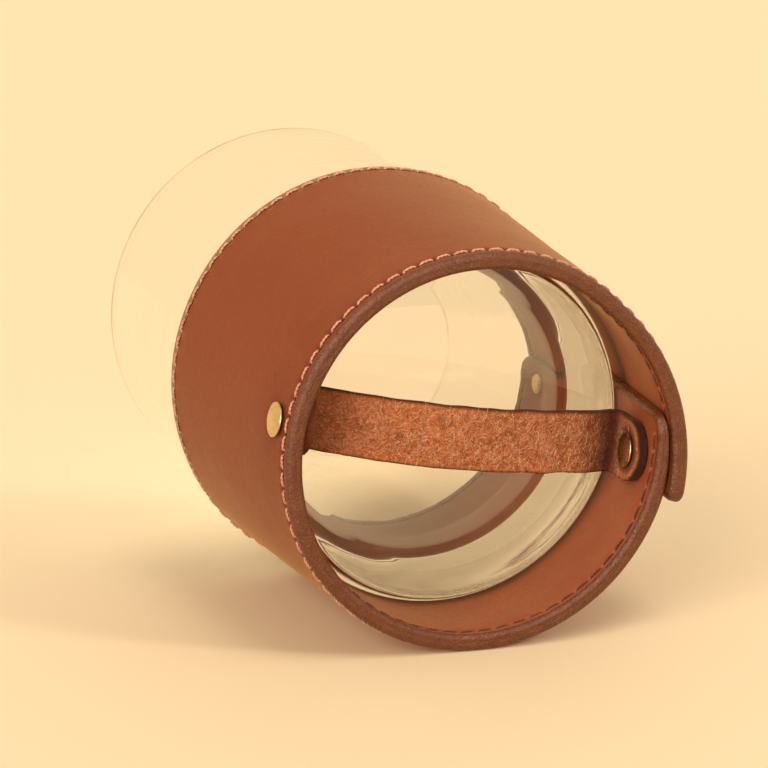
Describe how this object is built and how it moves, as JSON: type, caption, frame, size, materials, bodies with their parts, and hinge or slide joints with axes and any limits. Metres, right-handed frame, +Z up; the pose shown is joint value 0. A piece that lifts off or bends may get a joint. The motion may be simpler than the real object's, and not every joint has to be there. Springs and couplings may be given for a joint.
{
  "type": "leather-sleeved glass cup",
  "caption": "Clear glass cup held in a stitched leather sleeve, lapped and riveted at the back, with a riveted leather strap across under its base.",
  "frame": {"origin": "the middle of the cup's footprint, on the surface that it stands on", "axes": "+Z up from the sleeve's lower edge to the glass's rim, -Y the front with the single rivet, +Y the lapped and riveted back, the strap runs along Y"},
  "size_m": [0.1, 0.1046, 0.1495],
  "materials": {
    "clear_glass": "clear polished soda-lime glass",
    "smooth_leather": "smooth vegetable-tanned leather, russet brown, satin, with dark painted edges",
    "lining_leather": "smooth russet lining leather, low sheen",
    "flesh_side_leather": "rough fibrous flesh side, orange brown, matt",
    "waxed_thread": "waxed twisted thread, pinkish tan",
    "rivet_brass": "aged brass, low dome, satin"
  },
  "bodies": {
    "sleeve": {"sleeve_outer": "smooth_leather", "sleeve_lining": "lining_leather", "base_strap": "flesh_side_leather", "bottom_stitch_thread": "waxed_thread", "bottom_bobbin_thread": "waxed_thread", "top_stitch_thread": "waxed_thread", "top_bobbin_thread": "waxed_thread", "front_rivet_cap": "rivet_brass", "front_rivet_post": "rivet_brass", "rear_rivet_cap": "rivet_brass", "rear_rivet_post": "rivet_brass", "seam_rivet_cap": "rivet_brass", "seam_rivet_post": "rivet_brass"},
    "glass": {"glass_tumbler": "clear_glass"}
  },
  "joints": [
    {"name": "glass_lift", "type": "slide", "parent": "sleeve", "child": "glass", "axis": [0, 0, 1], "range_m": [0, 0.06]}
  ]
}
